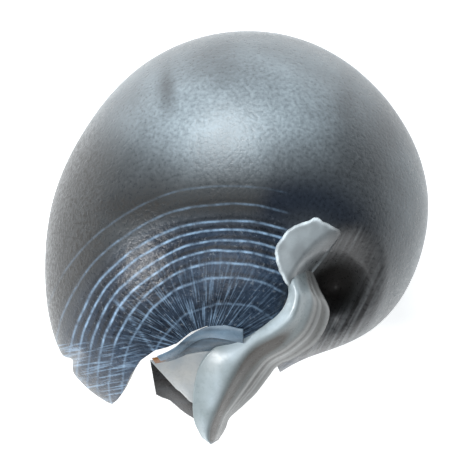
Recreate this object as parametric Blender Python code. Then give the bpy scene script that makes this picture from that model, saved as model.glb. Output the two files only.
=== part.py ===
"""Broken moon snail shell, one solid: a round body whorl, open below, with its hollow beside the
inner lip, the pointed lip end, the broken ledge and the low coiled spire on the hidden side."""

import math

import bmesh
import bpy
import numpy as np

# Real sizes in metres
BODY_WIDTH = 0.072
WALL = 0.0022
LIP_WALL = 0.0026
PATCH_WALL = 0.0014
HOLLOW_DEPTH = 0.0110
THROAT_DEPTH = 0.0105
SUTURE_DEPTH = 0.0017
SPIRE_WALL_EXTRA = 0.0012   # the wall is thicker where the seam is cut in
LEDGE_WALL = 0.0031
SPIRE_RISE = 0.0030
BODY_CENTRE = (-0.00012, 0.002745, 0.0266)   # above the resting face, from the middle of the box

# The shape is laid out in the picture's own units, seen square on: x right, y down
BODY_WIDTH_UNITS = 382.0
UNIT = BODY_WIDTH / BODY_WIDTH_UNITS
CENTRE = (236.0, 225.0)
FRONT_DEPTH = 186.0
BACK_DEPTH = 150.0
VIEW_TILT = math.radians(4.0)

# Radius of the body from its centre, every 22.5 degrees from the right, turning over the top
BODY_RADII = (191.5, 196.0, 196.0, 196.0, 193.0, 187.7, 181.0, 180.3,
              188.5, 205.0, 221.0, 208.0, 176.0, 151.0, 164.5, 181.6)

# The broken mouth's edge: picture x, y and side (1 towards the viewer, -1 away)
MOUTH_EDGE = (
    (104, 402.5, -1), (112, 404, 1), (121, 396, 1), (128, 379, 1), (136, 367, 1), (151, 355, 1),
    (174, 348, 1), (190, 336, 1), (206, 328, 1), (222, 327, 1), (244, 332, 1), (262, 343, 1), (274, 357, 1),
    (276, 348, -1), (250, 336, -1), (205, 328, -1), (155, 326, -1))
EDGE_FLATTEST = 0.995   # the edge's corners stay this far inside the outline
OUTLINE_SHARE = 1.5     # how quickly the outline's uneven radius fades towards front and back

# Direction of the apex, on the hidden side: right, up, towards the viewer
APEX = (0.22, 0.62, -0.75)
SUTURE_TURNS = 2.6
SUTURE_START = 1.30   # radians from the apex where the outermost suture meets the mouth
SUTURE_MOUTH_TURN = math.radians(75.0)
SUTURE_RATE = 0.30    # how fast each turn shrinks towards the apex
SUTURE_WIDTH = 0.13
SUTURE_LEAST_WIDTH = 0.015
SUTURE_OUTER_SLOPE = 0.7
SUTURE_INNER_SLOPE = 2.0
SUTURE_FADE_IN = 0.8    # radians of turn over which the seam deepens from the mouth
SPIRE_SPREAD = 0.55
SPIRE_WALL_EDGE = 1.50  # radians from the apex where the thicker wall ends
SPIRE_WALL_FADE = 0.40

# The hollow beside the inner lip: picture centre, half length, half width and slant
HOLLOW_CENTRE = (330.0, 296.0)
HOLLOW_HALF_LENGTH = 80.0
HOLLOW_HALF_WIDTH = 49.0
THROAT_CENTRE = (329.0, 283.0)
THROAT_HALF_LENGTH = 34.0
THROAT_HALF_WIDTH = 40.0
HOLLOW_SLANT = math.radians(63.0)
HOLLOW_FLOOR = 0.10
THROAT_FLOOR = 0.15
HOLLOW_INNER_GROWTH = 0.6   # the bowl is wider on the inside by this share of the wall
FRONT_FADE = 6.0            # how soon the bowl ends towards the outline

# The inner lip, from the lobe down to its point. Each station: outer edge, ridge, valley and
# far edge as picture x, y, with the ridge's depth towards the viewer
INNER_LIP = (
    ((286, 262), (294, 266), (302, 268), (312, 272), 161),
    ((284, 276), (293, 279), (303, 281), (318, 287), 169),
    ((287, 292), (297, 295), (307, 299), (328, 311), 170),
    ((280, 309), (290, 316), (299, 323), (318, 337), 164),
    ((263, 323), (272, 331), (282, 341), (297, 354), 156),
    ((239, 332), (251, 343), (263, 353), (277, 364), 148),
    ((214, 346), (237, 358), (252, 364), (268, 375), 141),
    ((201, 361), (227, 376), (241, 380), (256, 391), 132),
    ((195, 381), (219, 394), (230, 398), (243, 404), 122),
    ((193, 402), (212, 411), (222, 413), (230, 416), 112),
    ((195, 420), (208, 425), (217, 426), (225.5, 427), 103),
    ((202, 435), (208, 437), (214, 438), (219, 438), 96))
LIP_TIP = (211, 443, 92)
LIP_EDGE_DROP = (7.0, 0.0, 16.0, 40.0)

# Broken layers left of the ridge. Each: upper edge, lower edge as picture x, y, depth
LEDGE_OUTER = (
    ((158, 354, 141), (174, 346, 147), (188, 335, 152), (204, 326, 156), (221, 323, 158), (243, 327, 158)),
    ((162, 359, 134), (180, 351, 139), (194, 341, 143), (209, 336, 147), (224, 337, 149), (243, 341, 148)))
LEDGE_INNER = (
    ((153, 356, 128), (174, 352, 132), (192, 342, 138), (208, 336, 142), (223, 337, 144), (242, 340, 142)),
    ((157, 362, 118), (174, 359, 121), (190, 353, 124), (207, 350, 128), (222, 346, 132), (238, 346, 132)))
INNER_WALL = (
    ((151, 358, 122), (168, 356, 124), (186, 352, 126), (204, 349, 129), (222, 346, 130)),
    ((177, 387, 96), (181, 390, 96), (186, 395, 97), (192, 400, 98), (205, 404, 99)))
DEEP_WALL = (
    ((151, 357, 120), (163, 369, 109), (176, 383, 97), (188, 395, 95), (202, 403, 97)),
    ((157, 393, 92), (163, 396, 84), (171, 399, 78), (184, 410, 76), (200, 420, 84)))

# Faces of the solid
AROUND = 84
UP_OUTSIDE = 30
UP_INSIDE = 18
ROWS_NEAR_MOUTH = 1.3   # over 1 gathers the rows near the mouth
SPREAD_BY_TURN = 0.65   # how far the lines up the body follow the turn, not the edge's length
LIP_STATIONS = 20
LIP_AROUND = 20


def at(x, y, depth):
    """Metres in the viewer's frame: right, up and towards the viewer."""
    return np.stack([(np.asarray(x, float) - CENTRE[0]) * UNIT, (CENTRE[1] - np.asarray(y, float)) * UNIT,
                     np.asarray(depth, float) * UNIT], -1)


def standing(points):
    """Turns points from the viewer's frame to the shell's own, with its resting face level."""
    right, up, near = points[..., 0], points[..., 1], points[..., 2]
    cos, sin = math.cos(VIEW_TILT), math.sin(VIEW_TILT)
    turned = np.stack([right, up * cos - near * sin, up * sin + near * cos], -1)
    return turned + np.array(BODY_CENTRE)


def smooth(value):
    value = np.clip(value, 0.0, 1.0)
    return value * value * (3.0 - 2.0 * value)


def body_radius(angle):
    """Sum of harmonics that passes through BODY_RADII."""
    waves = np.fft.rfft(BODY_RADII) / len(BODY_RADII)
    radius = np.full(np.shape(angle), waves[0].real)
    for order in range(1, len(waves)):
        share = 1.0 if order == len(BODY_RADII) // 2 else 2.0
        wave = waves[order]
        radius = radius + share * (wave.real * np.cos(order * angle) - wave.imag * np.sin(order * angle))
    return radius


def hollow(x, y, grow):
    """How far the hollow beside the inner lip sinks, in metres, at picture x, y."""
    sunk = np.zeros(np.shape(x))
    parts = ((HOLLOW_CENTRE, HOLLOW_HALF_LENGTH, HOLLOW_HALF_WIDTH, HOLLOW_DEPTH, HOLLOW_FLOOR),
             (THROAT_CENTRE, THROAT_HALF_LENGTH, THROAT_HALF_WIDTH, THROAT_DEPTH, THROAT_FLOOR))
    for centre, length, width, depth, floor in parts:
        right, up = x - centre[0], centre[1] - y
        along = right * math.cos(HOLLOW_SLANT) + up * math.sin(HOLLOW_SLANT)
        across = right * math.sin(HOLLOW_SLANT) - up * math.cos(HOLLOW_SLANT)
        if centre is THROAT_CENTRE:
            along, across = up, right
        reach = np.hypot(along / (length + grow), across / (width + grow))
        sunk = sunk + depth * (1.0 - smooth((reach - floor) / (1.0 - floor)))
    return sunk


def apex_angles(direction):
    """Angle from the apex, and the turn around it, of each direction."""
    apex = np.array(APEX) / np.linalg.norm(APEX)
    side = np.cross(apex, (0.0, 1.0, 0.0))
    side = side / np.linalg.norm(side)
    away = np.arccos(np.clip(direction @ apex, -1.0, 1.0))
    turn = np.arctan2(direction @ np.cross(apex, side), direction @ side)
    return away, turn


def suture(direction):
    """Depth of the spiral seam between the whorls: a groove along a logarithmic spiral."""
    away, turn = apex_angles(direction)
    depth = np.zeros(away.shape)
    for lap in range(-1, 5):
        wound = SUTURE_MOUTH_TURN - turn + 2.0 * math.pi * lap
        place = SUTURE_START * np.exp(-SUTURE_RATE * wound)
        inside = (wound > 0.0) & (wound < SUTURE_TURNS * 2.0 * math.pi)
        width = SUTURE_WIDTH * place / SUTURE_START + SUTURE_LEAST_WIDTH
        gap = (away - place) / width
        slope = np.where(gap > 0.0, SUTURE_OUTER_SLOPE, SUTURE_INNER_SLOPE)
        near = np.exp(-(gap * slope) ** 2)
        fade = smooth(wound / SUTURE_FADE_IN)
        depth = np.maximum(depth, np.where(inside, fade * near * np.sqrt(place / SUTURE_START), 0.0))
    return depth


def spire_rise(direction, inset):
    """How far the spire stands out, less the seam outside or the thicker wall inside."""
    away, _ = apex_angles(direction)
    rise = SPIRE_RISE * np.exp(-(away / SPIRE_SPREAD) ** 2)
    if inset > 0.0:
        return rise - SPIRE_WALL_EXTRA * smooth((SPIRE_WALL_EDGE - away) / SPIRE_WALL_FADE)
    return rise - SUTURE_DEPTH * suture(direction)


def body_points(direction, inset):
    """Points of the body for unit directions, moved in by inset metres."""
    flat = np.hypot(direction[..., 0], direction[..., 1])
    angle = np.arctan2(direction[..., 1], direction[..., 0])
    mean = sum(BODY_RADII) / len(BODY_RADII)
    radius = (mean + (body_radius(angle) - mean) * flat ** OUTLINE_SHARE) * UNIT - inset
    front = FRONT_DEPTH * UNIT - inset
    back = BACK_DEPTH * UNIT - inset
    near = direction[..., 2] * np.where(direction[..., 2] > 0.0, front, back)
    points = np.stack([direction[..., 0] * radius, direction[..., 1] * radius, near], -1)
    points = points + direction * spire_rise(direction, inset)[..., None]
    x = points[..., 0] / UNIT + CENTRE[0]
    y = CENTRE[1] - points[..., 1] / UNIT
    facing = smooth(direction[..., 2] * FRONT_FADE)
    points[..., 2] -= hollow(x, y, HOLLOW_INNER_GROWTH * inset / UNIT) * facing
    return points


def edge_directions(count):
    """Unit directions of the mouth's edge, evenly spread along it."""
    edge = np.array(MOUTH_EDGE, float)
    right, up = edge[:, 0] - CENTRE[0], CENTRE[1] - edge[:, 1]
    angle = np.arctan2(up, right)
    flat = np.minimum(np.hypot(right, up) / body_radius(angle), EDGE_FLATTEST)
    near = np.sqrt(1.0 - flat ** 2) * edge[:, 2]
    corners = np.stack([flat * np.cos(angle), flat * np.sin(angle), near], -1)
    loop = np.vstack([corners, corners[:1]])
    _, turn = apex_angles(loop)
    swing = np.abs(np.angle(np.exp(1j * np.diff(turn))))
    length = np.linalg.norm(np.diff(loop, axis=0), axis=1)
    share = (1.0 - SPREAD_BY_TURN) * length / length.sum() + SPREAD_BY_TURN * swing / swing.sum()
    length = np.concatenate([[0.0], np.cumsum(share)])
    where = np.linspace(0.0, length[-1], count, endpoint=False)
    even = np.stack([np.interp(where, length, loop[:, k]) for k in range(3)], -1)
    return even / np.linalg.norm(even, axis=1, keepdims=True)


def body_directions(around, up):
    """Great-circle lines from the mouth's edge to the apex."""
    apex = np.array(APEX) / np.linalg.norm(APEX)
    edge = edge_directions(around)
    step = (np.linspace(0.0, 1.0, up + 1)[:-1] ** ROWS_NEAR_MOUTH)[:, None, None]
    whole = np.arccos(np.clip(edge @ apex, -1.0, 1.0))[None, :, None]
    mixed = np.sin((1.0 - step) * whole) * edge[None] + np.sin(step * whole) * apex
    return mixed / np.sin(whole), apex


def pressed(points, inset):
    """Wears the resting face flat, inside and out."""
    points[..., 2] = np.maximum(points[..., 2], inset)
    return points


def closed_rings(rings, first_point, last_point):
    """Vertices and faces of rings joined in order, each end drawn to a point."""
    around = rings[0].shape[0]
    points = np.vstack([*rings, first_point[None], last_point[None]])
    step = np.arange(around)
    after = (step + 1) % around
    faces = []
    for row in range(len(rings) - 1):
        low, high = row * around, (row + 1) * around
        faces += np.stack([low + step, low + after, high + after, high + step], -1).tolist()
    first, last = len(points) - 2, len(points) - 1
    end = (len(rings) - 1) * around
    faces += np.stack([np.full(around, first), after, step], -1).tolist()
    faces += np.stack([np.full(around, last), end + step, end + after], -1).tolist()
    return points, faces


def body_whorl():
    outer_way, apex = body_directions(AROUND, UP_OUTSIDE)
    inner_way, _ = body_directions(AROUND, UP_INSIDE)
    outer = pressed(standing(body_points(outer_way, 0.0)), 0.0)
    inner = pressed(standing(body_points(inner_way, WALL)), WALL)
    tip = pressed(standing(body_points(apex[None], 0.0)), 0.0)[0]
    base = pressed(standing(body_points(apex[None], WALL)), WALL)[0]
    rings = [*outer[::-1], *inner]
    return closed_rings(rings, tip, base)


def along_stations(values, count):
    """Catmull-Rom curve through the stations, for every column of values."""
    values = np.asarray(values, float)
    ends = np.vstack([2 * values[:1] - values[1:2], values, 2 * values[-1:] - values[-2:-1]])
    where = np.linspace(0.0, len(values) - 1.0, count)
    cell = np.minimum(where.astype(int), len(values) - 2)
    part = (where - cell)[:, None]
    a, b, c, d = ends[cell], ends[cell + 1], ends[cell + 2], ends[cell + 3]
    return 0.5 * (2 * b + (c - a) * part + (2 * a - 5 * b + 4 * c - d) * part ** 2
                  + (3 * b - a - 3 * c + d) * part ** 3)


def inner_lip():
    """Section of the lip, rounded at both edges, carried down its stations to the point."""
    table = []
    for outer, ridge, valley, far, depth in INNER_LIP:
        depths = [depth - drop for drop in LIP_EDGE_DROP]
        table.append([v for (x, y), z in zip((outer, ridge, valley, far), depths) for v in (x, y, z)])
    stations = along_stations(table, LIP_STATIONS).reshape(LIP_STATIONS, 4, 3)
    half = LIP_AROUND // 2
    across = np.linspace(0.0, 1.0, half + 1)
    rings = []
    for station in stations:
        front = along_stations(station, half + 1)
        swell = np.sqrt(np.clip(1.0 - (2.0 * across - 1.0) ** 4, 0.0, 1.0)) * LIP_WALL / UNIT
        back = front - np.stack([0 * swell, 0 * swell, swell], -1)
        loop = np.vstack([front, back[-2:0:-1]])
        rings.append(standing(at(loop[:, 0], loop[:, 1], loop[:, 2])))
    tip = standing(at(*LIP_TIP))
    return closed_rings(rings, rings[0].mean(0), tip)


def layer(edges, across, thickness):
    """A thin broken layer lofted between two edges, closed all round."""
    count = 2 * len(edges[0]) - 1
    upper, lower = along_stations(edges[0], count), along_stations(edges[1], count)
    share = np.linspace(0.0, 1.0, across)[:, None, None]
    front = upper[None] * (1.0 - share) + lower[None] * share
    back = front - np.array([0.0, 0.0, thickness / UNIT])
    rings = []
    for column in range(count):
        loop = np.vstack([front[:, column], back[::-1, column]])
        rings.append(standing(at(loop[:, 0], loop[:, 1], loop[:, 2])))
    return closed_rings(rings, rings[0].mean(0), rings[-1].mean(0))


def solid(name, made, collection):
    mesh = bpy.data.meshes.new(name)
    mesh.from_pydata(made[0].tolist(), [], made[1])
    shape = bmesh.new()
    shape.from_mesh(mesh)
    bmesh.ops.triangulate(shape, faces=shape.faces[:])
    bmesh.ops.recalc_face_normals(shape, faces=shape.faces[:])
    shape.to_mesh(mesh)
    shape.free()
    item = bpy.data.objects.new(name, mesh)
    collection.objects.link(item)
    return item


def shell_finish():
    finish = bpy.data.materials.new("shell")
    finish.use_nodes = True
    shader = finish.node_tree.nodes["Principled BSDF"]
    shader.inputs["Base Color"].default_value = (0.25, 0.28, 0.31, 1.0)
    shader.inputs["Roughness"].default_value = 0.38
    shader.inputs["Metallic"].default_value = 0.0
    return finish


def clear_scene():
    for item in list(bpy.data.objects):
        bpy.data.objects.remove(item, do_unlink=True)


def main():
    clear_scene()
    part = bpy.data.collections.new("moon_snail_shell")
    tools = bpy.data.collections.new("joined_pieces")
    for group in (part, tools):
        bpy.context.scene.collection.children.link(group)
    shell = solid("shell", body_whorl(), part)
    shell.data.materials.append(shell_finish())
    grown = {"inner_lip": inner_lip(),
             "ledge_outer": layer(LEDGE_OUTER, 3, LEDGE_WALL),
             "ledge_inner": layer(LEDGE_INNER, 3, LEDGE_WALL),
             "inner_wall": layer(INNER_WALL, 6, PATCH_WALL),
             "deep_wall": layer(DEEP_WALL, 4, PATCH_WALL)}
    for name, made in grown.items():
        piece = solid(name, made, tools)
        piece.hide_render = True
        piece.display_type = "WIRE"
        join = shell.modifiers.new(name, "BOOLEAN")
        join.operation = "UNION"
        join.solver = "EXACT"
        join.object = piece
    shell.data.shade_smooth()


main()
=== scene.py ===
import math

import bpy
import numpy as np
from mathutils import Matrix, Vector


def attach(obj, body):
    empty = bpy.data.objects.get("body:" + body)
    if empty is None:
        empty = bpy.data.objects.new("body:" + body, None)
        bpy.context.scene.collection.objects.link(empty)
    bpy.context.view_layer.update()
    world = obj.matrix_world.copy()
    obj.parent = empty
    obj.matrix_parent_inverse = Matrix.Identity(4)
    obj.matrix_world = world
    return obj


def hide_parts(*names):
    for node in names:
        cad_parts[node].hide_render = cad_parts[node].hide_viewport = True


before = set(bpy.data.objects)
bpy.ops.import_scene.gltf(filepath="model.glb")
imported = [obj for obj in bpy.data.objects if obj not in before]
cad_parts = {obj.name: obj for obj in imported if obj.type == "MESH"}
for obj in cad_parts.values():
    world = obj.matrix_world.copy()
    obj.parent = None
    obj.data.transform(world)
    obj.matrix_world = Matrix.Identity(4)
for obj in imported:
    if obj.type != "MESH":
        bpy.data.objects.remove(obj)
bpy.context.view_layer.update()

# Picture units: the photograph's 450 by 450 frame, x right and y down, 382 units across the 72 mm body
layout = {
    "unit": 0.072 / 382.0,
    "centre": (236.0, 225.0),
    "bodyCentre": (-0.00012, 0.002745, 0.0266),
    "viewTilt": math.radians(4.0),
}
tiltCos, tiltSin = math.cos(layout["viewTilt"]), math.sin(layout["viewTilt"])


def smooth(value):
    value = np.clip(value, 0.0, 1.0)
    return value * value * (3.0 - 2.0 * value)


def bell(value, width):
    return np.exp(-(value / width) ** 2)


# Soft steps: from 0 to 1 over a length after a start, and from 1 to 0 over a length before an end
def climb(value, start, length):
    return smooth((value - start) / length)


def fall(value, end, length):
    return smooth((end - value) / length)


# A soft spot: the product of two bells, each given as its middle and its width
def spot(x, y, across, down):
    return bell(x - across[0], across[1]) * bell(y - down[0], down[1])


rippleMarks = {"octaves": 3, "perOctave": 4, "turn": 6.283, "sum": 4.5}


# A repeatable noise: a sum of sine waves in fixed, unrelated directions, from -1 to 1
def ripple(x, y, z, scale, seed):
    draw = np.random.default_rng(seed)
    total = 0.0
    for octave in range(rippleMarks["octaves"]):
        for _ in range(rippleMarks["perOctave"]):
            way = draw.normal(size=3)
            way = way / np.linalg.norm(way) * (2.0 ** octave) / scale
            phase = draw.uniform(0, rippleMarks["turn"])
            total = total + np.sin(x * way[0] + y * way[1] + z * way[2] + phase) / (2.0 ** octave)
    return total / rippleMarks["sum"]


# Picture places as metres right, up and near of the view
def at(x, y, depth):
    unit, centre = layout["unit"], layout["centre"]
    return np.stack([(np.asarray(x, float) - centre[0]) * unit, (centre[1] - np.asarray(y, float)) * unit,
                     np.asarray(depth, float) * unit], -1)


# Turns points from the viewer's right, up and near to the shell's own frame, resting face level
def standing(points):
    right, up, near = points[..., 0], points[..., 1], points[..., 2]
    turned = np.stack([right, up * tiltCos - near * tiltSin, up * tiltSin + near * tiltCos], -1)
    return turned + np.array(layout["bodyCentre"])


# Places back in picture units: x, y and depth towards the viewer
def pictured(points):
    moved = points - np.array(layout["bodyCentre"])
    up = moved[..., 1] * tiltCos + moved[..., 2] * tiltSin
    near = -moved[..., 1] * tiltSin + moved[..., 2] * tiltCos
    unit, centre = layout["unit"], layout["centre"]
    return centre[0] + moved[..., 0] / unit, centre[1] - up / unit, near / unit


# Closed skin over rings joined in order, each end drawn to a point
def ringFaces(rows, around):
    step = np.arange(around)
    after = (step + 1) % around
    low = (np.arange(rows - 1) * around)[:, None]
    quads = np.stack([low + step, low + after, low + around + after, low + around + step], -1).reshape(-1, 4)
    first, last = rows * around, rows * around + 1
    end = (rows - 1) * around
    caps = np.vstack([np.stack([np.full(around, first), after, step], -1),
                      np.stack([np.full(around, last), end + step, end + after], -1)])
    return quads, caps


# Smooth curve through the rows of values, read at count even steps
def catmull(values, count):
    values = np.asarray(values, float)
    ends = np.vstack([2 * values[:1] - values[1:2], values, 2 * values[-1:] - values[-2:-1]])
    where = np.linspace(0.0, len(values) - 1.0, count)
    cell = np.minimum(where.astype(int), len(values) - 2)
    part = (where - cell)[:, None]
    a, b, c, d = ends[cell], ends[cell + 1], ends[cell + 2], ends[cell + 3]
    return 0.5 * (2 * b + (c - a) * part + (2 * a - 5 * b + 4 * c - d) * part ** 2
                  + (3 * b - a - 3 * c + d) * part ** 3)


print("stage: body whorl")
whorl = {
    "radii": (191.5, 196.0, 196.0, 196.0, 193.0, 187.7, 181.0, 180.3,
              188.5, 205.0, 221.0, 208.0, 176.0, 151.0, 164.5, 181.6),
    "frontDepth": 186.0,
    "backDepth": 150.0,
    "wall": 0.0022,
    "apex": (0.22, 0.62, -0.75),
    "spireRise": 0.0030,
    "sutureDepth": 0.0016,
    "spireWallExtra": 0.0012,
    "spireWallEdge": 1.50,
    "sutureStart": 1.30,
    "sutureMouthTurn": math.radians(75.0),
    "sutureRate": 0.30,
    "sutureTurns": 2.6,
    "sutureWidth": 0.10,
    "sutureLeastWidth": 0.015,
    "sutureOuterSlope": 0.7,
    "sutureInnerSlope": 2.0,
    "sutureFadeIn": 0.8,
    "spireSpread": 0.55,
    "spireWallFade": 0.4,
    "outlineShare": 1.5,
    "frontFade": 6.0,
    "hollowSlant": math.radians(63.0),
    "hollow": ((330.0, 296.0), 80.0, 49.0, 0.0110, 0.10),
    "throat": ((329.0, 283.0), 34.0, 40.0, 0.0105, 0.15),
    "edge": ((104, 402.5, -1), (112, 404, 1), (121, 396, 1), (128, 379, 1), (136, 367, 1), (151, 355, 1),
             (174, 348, 1), (190, 336, 1), (206, 328, 1), (222, 327, 1), (244, 332, 1), (262, 343, 1),
             (274, 357, 1), (276, 348, -1), (250, 336, -1), (205, 328, -1), (155, 326, -1)),
    "around": 400,
    "rowsOutside": 170,
    "rowsInside": 46,
    "rowsNearMouth": 1.3,
    "spreadByTurn": 0.65,
    "edgeFlattest": 0.995,
    "edgeJag": 0.006,
    "edgeJagGrain": 0.05,
    "outlineChip": {"angle": math.radians(-140.5), "width": math.radians(1.6), "depth": 7.0,
                    "outside": (0.9, 0.08)},
    "hollowInnerGrowth": 0.6,
    "drawnIn": 0.998,
    "arcPole": (228.0, 380.0),
    "arcRadii": (194.0, 176.0, 160.0, 151.0, 140.0, 130.0, 118.0, 104.0, 78.0),
    "arcStrengths": (0.14, 0.30, 0.70, 0.95, 0.85, 1.0, 0.85, 0.65, 0.40),
    "growthPole": (205.0, 352.0),
}


# Outline radius at an angle: the wave sum through sixteen even radii
def bodyRadius(angle):
    radii = whorl["radii"]
    waves = np.fft.rfft(radii) / len(radii)
    radius = np.full(np.shape(angle), waves[0].real)
    for order in range(1, len(waves)):
        share = 1.0 if order == len(radii) // 2 else 2.0
        radius = radius + share * (waves[order].real * np.cos(order * angle)
                                   - waves[order].imag * np.sin(order * angle))
    return radius


# Depth of the hollow: two smooth bowls, one inside the other, at picture x, y
def hollowDepth(x, y, grow):
    sunk = np.zeros(np.shape(x))
    slant = whorl["hollowSlant"]
    for name in ("hollow", "throat"):
        centre, length, width, depth, floor = whorl[name]
        right, up = x - centre[0], centre[1] - y
        along = right * math.cos(slant) + up * math.sin(slant) if name == "hollow" else up
        across = right * math.sin(slant) - up * math.cos(slant) if name == "hollow" else right
        reach = np.hypot(along / (length + grow), across / (width + grow))
        sunk = sunk + depth * (1.0 - smooth((reach - floor) / (1.0 - floor)))
    return sunk


apexWay = np.array(whorl["apex"]) / np.linalg.norm(whorl["apex"])


# Angle away from the apex, and the turn about it
def apexAngles(way):
    side = np.cross(apexWay, (0.0, 1.0, 0.0))
    side = side / np.linalg.norm(side)
    away = np.arccos(np.clip(way @ apexWay, -1.0, 1.0))
    return away, np.arctan2(way @ np.cross(apexWay, side), way @ side)


# The seam between whorls: a groove along a logarithmic spiral round the apex
def suture(way):
    start = whorl["sutureStart"]
    away, turn = apexAngles(way)
    depth = np.zeros(away.shape)
    for lap in range(-1, 5):
        wound = whorl["sutureMouthTurn"] - turn + 2.0 * math.pi * lap
        place = start * np.exp(-whorl["sutureRate"] * wound)
        inside = (wound > 0.0) & (wound < whorl["sutureTurns"] * 2.0 * math.pi)
        gap = (away - place) / (whorl["sutureWidth"] * place / start + whorl["sutureLeastWidth"])
        slope = np.where(gap > 0.0, whorl["sutureOuterSlope"], whorl["sutureInnerSlope"])
        shade = smooth(wound / whorl["sutureFadeIn"]) * bell(gap * slope, 1.0) * np.sqrt(place / start)
        depth = np.maximum(depth, np.where(inside, shade, 0.0))
    return depth


# How far the spire stands out, less the seam outside or the thicker wall inside
def spireRise(way, inset):
    away, _ = apexAngles(way)
    rise = whorl["spireRise"] * bell(away, whorl["spireSpread"])
    if inset > 0.0:
        thicker = fall(away, whorl["spireWallEdge"], whorl["spireWallFade"])
        return rise - whorl["spireWallExtra"] * thicker
    return rise - whorl["sutureDepth"] * suture(way)


# The body along unit directions: an uneven round outline, two half ellipsoids in depth, the small
# chip in the tongue's outline, the spire and the hollow, all moved in by inset
def bodyPoints(way, inset):
    unit, centre = layout["unit"], layout["centre"]
    flat = np.hypot(way[..., 0], way[..., 1])
    angle = np.arctan2(way[..., 1], way[..., 0])
    mean = sum(whorl["radii"]) / len(whorl["radii"])
    chip = whorl["outlineChip"]
    aside = np.angle(np.exp(1j * (angle - chip["angle"])))
    dent = chip["depth"] * bell(aside, chip["width"]) * climb(flat, *chip["outside"])
    uneven = (bodyRadius(angle) - mean) * flat ** whorl["outlineShare"]
    radius = (mean + uneven - dent) * unit - inset
    front = whorl["frontDepth"] * unit - inset
    back = whorl["backDepth"] * unit - inset
    near = way[..., 2] * np.where(way[..., 2] > 0.0, front, back)
    points = np.stack([way[..., 0] * radius, way[..., 1] * radius, near], -1)
    points = points + way * spireRise(way, inset)[..., None]
    x = points[..., 0] / unit + centre[0]
    y = centre[1] - points[..., 1] / unit
    sunk = hollowDepth(x, y, whorl["hollowInnerGrowth"] * inset / unit)
    points[..., 2] -= sunk * smooth(way[..., 2] * whorl["frontFade"])
    return points


# Great circles from the broken edge of the mouth to the apex
def bodyWays(rows):
    edge = np.array(whorl["edge"], float)
    right, up = edge[:, 0] - layout["centre"][0], layout["centre"][1] - edge[:, 1]
    angle = np.arctan2(up, right)
    flat = np.minimum(np.hypot(right, up) / bodyRadius(angle), whorl["edgeFlattest"])
    depth = np.sqrt(1.0 - flat ** 2) * edge[:, 2]
    corners = np.stack([flat * np.cos(angle), flat * np.sin(angle), depth], -1)
    loop = np.vstack([corners, corners[:1]])
    _, turn = apexAngles(loop)
    swing = np.abs(np.angle(np.exp(1j * np.diff(turn))))
    length = np.linalg.norm(np.diff(loop, axis=0), axis=1)
    blend = whorl["spreadByTurn"]
    share = (1.0 - blend) * length / length.sum() + blend * swing / swing.sum()
    where = np.linspace(0.0, 1.0, whorl["around"], endpoint=False)
    reach = np.concatenate([[0.0], np.cumsum(share)])
    even = np.stack([np.interp(where, reach, loop[:, k]) for k in range(3)], -1)
    jag = ripple(even[:, 0], even[:, 1], even[:, 2], whorl["edgeJagGrain"], 3)
    even = even + whorl["edgeJag"] * jag[:, None] * even[:, ::-1]
    even = even / np.linalg.norm(even, axis=1, keepdims=True)
    step = (np.linspace(0.0, 1.0, rows + 1)[:-1] ** whorl["rowsNearMouth"])[:, None, None]
    whole = np.arccos(np.clip(even @ apexWay, -1.0, 1.0))[None, :, None]
    return (np.sin((1.0 - step) * whole) * even[None] + np.sin(step * whole) * apexWay) / np.sin(whole)


# Heights in metres, the rest in picture units: widths, rates and soft steps
reliefMarks = {
    "line": 0.00007, "groove": 0.00004, "growth": 0.00003, "pit": 0.00005, "pitGrain": 4.0, "pitBase": 0.4,
    "front": (10.0, 30.0), "sway": 1.2, "swayRate": 0.07, "drift": 1.5, "driftGrain": 40.0, "squash": 1.02,
    "lineWidth": 1.15, "grooveGap": 3.4, "grooveWidth": 1.6, "breakBase": 0.62, "breakShare": 0.38,
    "breakGrain": 14.0, "warp": 0.030, "warpGrain": 26.0, "fineRates": (151.0, 83.0, 37.0), "finePhase": 1.3,
    "fineShare": 0.5, "fineFrom": (0.45, 0.5), "patchRates": (30.0, 0.16), "patchGrain": 1.6,
    "patchFrom": (-0.35, 0.6), "growthReach": (112.0, 60.0), "ridgeSlant": 0.18, "ridgeRate": 1.30,
    "ridgeDrift": 1.6, "ridgeGrain": 18.0, "ridgeWidth": 0.5, "ridgeShare": 0.8,
    "tongueSide": (150.0, 30.0), "tongueTop": (338.0, 12.0), "zoneReach": (186.0, 40.0),
}


# Low relief of the outside: spiral lines with their grooves, growth lines and pits, in metres
def relief(x, y, near):
    marks = reliefMarks
    lines, grooves, growth, zone = surfaceLines(x, y, near)
    pits = ripple(x, y, near, marks["pitGrain"], 11) * (marks["pitBase"] + zone)
    height = marks["line"] * lines - marks["groove"] * grooves
    return height + marks["growth"] * growth * zone + marks["pit"] * pits


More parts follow.
